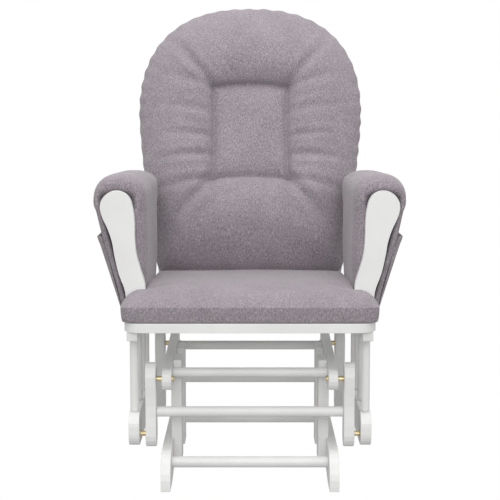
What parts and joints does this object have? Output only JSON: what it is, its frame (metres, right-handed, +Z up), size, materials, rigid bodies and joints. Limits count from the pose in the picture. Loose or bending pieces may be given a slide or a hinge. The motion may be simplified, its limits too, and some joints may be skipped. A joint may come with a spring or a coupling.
{
  "type": "glider nursery chair",
  "caption": "White wooden glider chair: a cushioned seat with reclined hoop back and padded pocketed arms swings fore and aft on hanging arms over a fixed base.",
  "frame": {"origin": "on the floor, under the centre of the whole chair's bounding box", "axes": "+Z up, -Y is the front of the chair, +X is to the right of someone facing it"},
  "size_m": [0.647, 0.7434, 1.0026],
  "materials": {
    "white_wood": "satin white paint on solid hardwood",
    "brass": "bright brass-coloured plate on steel",
    "fabric": "mauve-grey heather weave over foam and fibre"
  },
  "bodies": {
    "base": {"foot_left": "white_wood", "foot_right": "white_wood", "base_rail_left": "white_wood", "base_rail_right": "white_wood", "upright_front_left": "white_wood", "upright_front_right": "white_wood", "upright_rear_left": "white_wood", "upright_rear_right": "white_wood", "foot_dowel_front": "white_wood", "foot_dowel_rear": "white_wood", "rail_dowel_front": "white_wood", "rail_dowel_rear": "white_wood", "pivot_upper_front_left": "brass", "pivot_upper_front_right": "brass", "pivot_upper_rear_left": "brass", "pivot_upper_rear_right": "brass"},
    "front_arms": {"swing_arm_front_left": "white_wood", "swing_arm_front_right": "white_wood", "tie_dowel_front": "white_wood"},
    "rear_arms": {"swing_arm_rear_left": "white_wood", "swing_arm_rear_right": "white_wood", "tie_dowel_rear": "white_wood"},
    "seat": {"pivot_lower_front_left": "brass", "pivot_lower_front_right": "brass", "pivot_lower_rear_left": "brass", "pivot_lower_rear_right": "brass", "low_rail_left": "white_wood", "low_rail_right": "white_wood", "spindle_left_1": "white_wood", "spindle_left_2": "white_wood", "spindle_left_3": "white_wood", "spindle_left_4": "white_wood", "spindle_right_1": "white_wood", "spindle_right_2": "white_wood", "spindle_right_3": "white_wood", "spindle_right_4": "white_wood", "side_rail_left": "white_wood", "side_rail_right": "white_wood", "seat_board_front": "white_wood", "seat_board_left": "white_wood", "seat_board_right": "white_wood", "seat_board_rear": "white_wood", "seat_slat_1": "white_wood", "seat_slat_2": "white_wood", "seat_slat_3": "white_wood", "back_hoop": "white_wood", "back_rail_low": "white_wood", "back_slat_1": "white_wood", "back_slat_2": "white_wood", "back_slat_3": "white_wood", "paddle_left": "white_wood", "paddle_right": "white_wood", "armrest_left": "white_wood", "armrest_right": "white_wood", "arm_pad_left": "fabric", "arm_pad_right": "fabric", "arm_pocket_left": "fabric", "arm_pocket_right": "fabric", "seat_cushion": "fabric", "back_cushion": "fabric"}
  },
  "joints": [
    {"name": "rear_swing", "type": "hinge", "parent": "base", "child": "rear_arms", "pos_m": [0, 0.02, 0.2334], "axis": [1, 0, 0], "range_deg": [-15, 15]},
    {"name": "seat_pivot", "type": "hinge", "parent": "rear_arms", "child": "seat", "pos_m": [0, 0.017, 0.1], "axis": [1, 0, 0], "range_deg": [-15.5, 15.5]},
    {"name": "front_swing", "type": "hinge", "parent": "base", "child": "front_arms", "pos_m": [0, -0.286, 0.217], "axis": [1, 0, 0], "range_deg": [-17.2, 17.2]}
  ],
  "couplings": [
    {"joint": "seat_pivot", "follows": "rear_swing", "ratio": -1.0219},
    {"joint": "front_swing", "follows": "rear_swing", "ratio": 1.1387}
  ]
}
